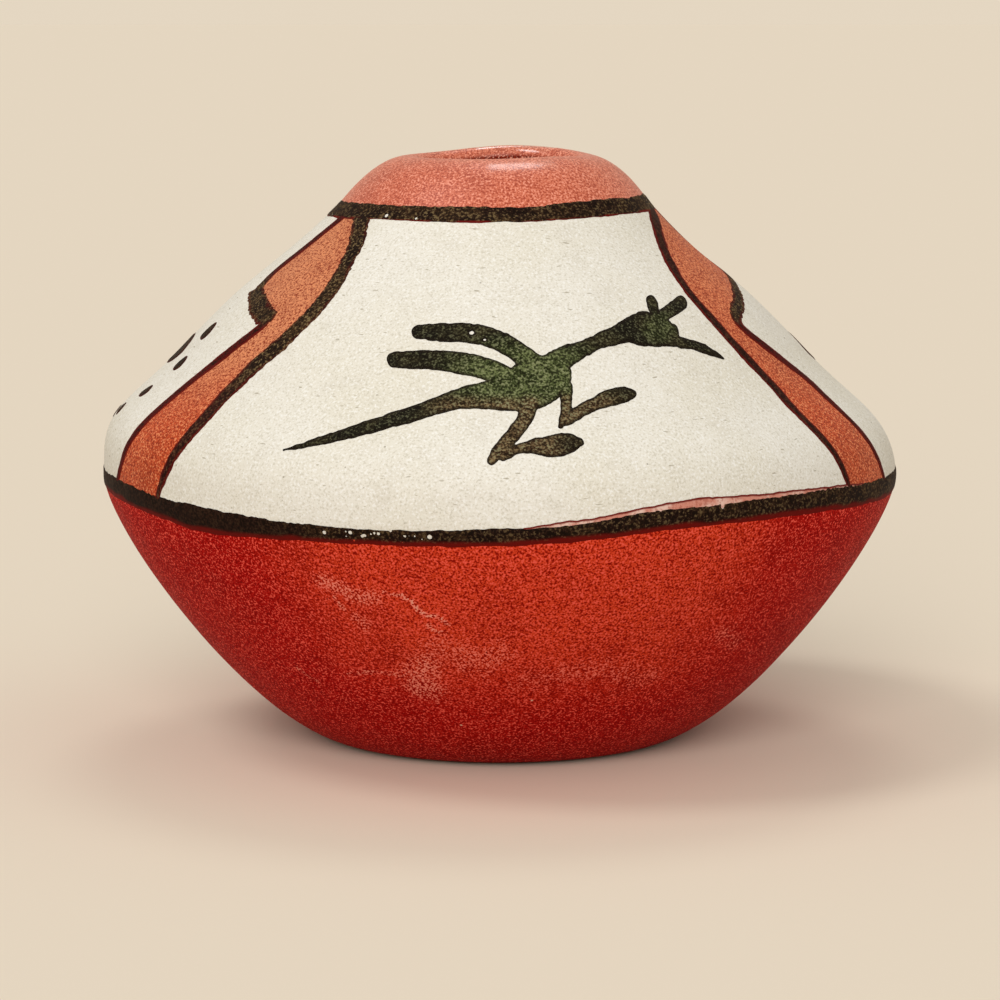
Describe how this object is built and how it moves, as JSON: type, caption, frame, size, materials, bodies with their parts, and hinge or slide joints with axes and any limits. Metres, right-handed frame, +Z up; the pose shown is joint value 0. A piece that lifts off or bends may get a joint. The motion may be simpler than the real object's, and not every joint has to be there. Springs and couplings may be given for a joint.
{
  "type": "painted clay jar",
  "caption": "Small hand-built clay jar with a wide shoulder and a narrow rimmed mouth, red-slipped bowl, cream panels, black lines and a painted bird.",
  "frame": {"origin": "centre of the box of the jar, on the plane that the foot rests on", "axes": "+Z up through the mouth, -Y the way the painted bird panel faces, +X to the right of that panel"},
  "size_m": [0.0924, 0.0924, 0.0682],
  "materials": {
    "bare_clay": "unglazed fired clay with fine temper",
    "red_slip": "stone-polished red slip, soft sheen",
    "cream_slip": "cream slip, low sheen",
    "black_paint": "matt mineral paint, fired",
    "olive_paint": "matt mineral paint, fired"
  },
  "bodies": {
    "root": {"base_slab": "bare_clay", "lower_course_1": "bare_clay", "lower_course_2": "bare_clay", "lower_course_3": "bare_clay", "belly_course": "bare_clay", "shoulder_course": "bare_clay", "slope_course": "bare_clay", "neck_course": "bare_clay", "rim_coil": "bare_clay", "red_slip_bowl": "red_slip", "cream_panel_front": "cream_slip", "cream_panel_right": "cream_slip", "cream_panel_back": "cream_slip", "cream_panel_left": "cream_slip", "red_divider_front_right": "red_slip", "red_divider_back_right": "red_slip", "red_divider_back_left": "red_slip", "red_divider_front_left": "red_slip", "red_slip_collar": "red_slip", "shoulder_line": "black_paint", "neck_line": "black_paint", "smooth_line_front_left": "black_paint", "smooth_line_front_right": "black_paint", "smooth_line_back_right": "black_paint", "smooth_line_back_left": "black_paint", "stepped_line_front_left": "black_paint", "stepped_line_front_right": "black_paint", "stepped_line_back_right": "black_paint", "stepped_line_back_left": "black_paint", "front_bird": "olive_paint", "back_bird": "olive_paint", "left_side_mark": "black_paint", "right_side_mark": "black_paint", "left_side_dot_1": "black_paint", "left_side_dot_2": "black_paint", "left_side_dot_3": "black_paint", "left_side_dot_4": "black_paint", "left_side_dot_5": "black_paint", "left_side_dot_6": "black_paint", "left_side_dot_7": "black_paint", "left_side_dot_8": "black_paint", "left_side_dot_9": "black_paint"}
  },
  "joints": []
}
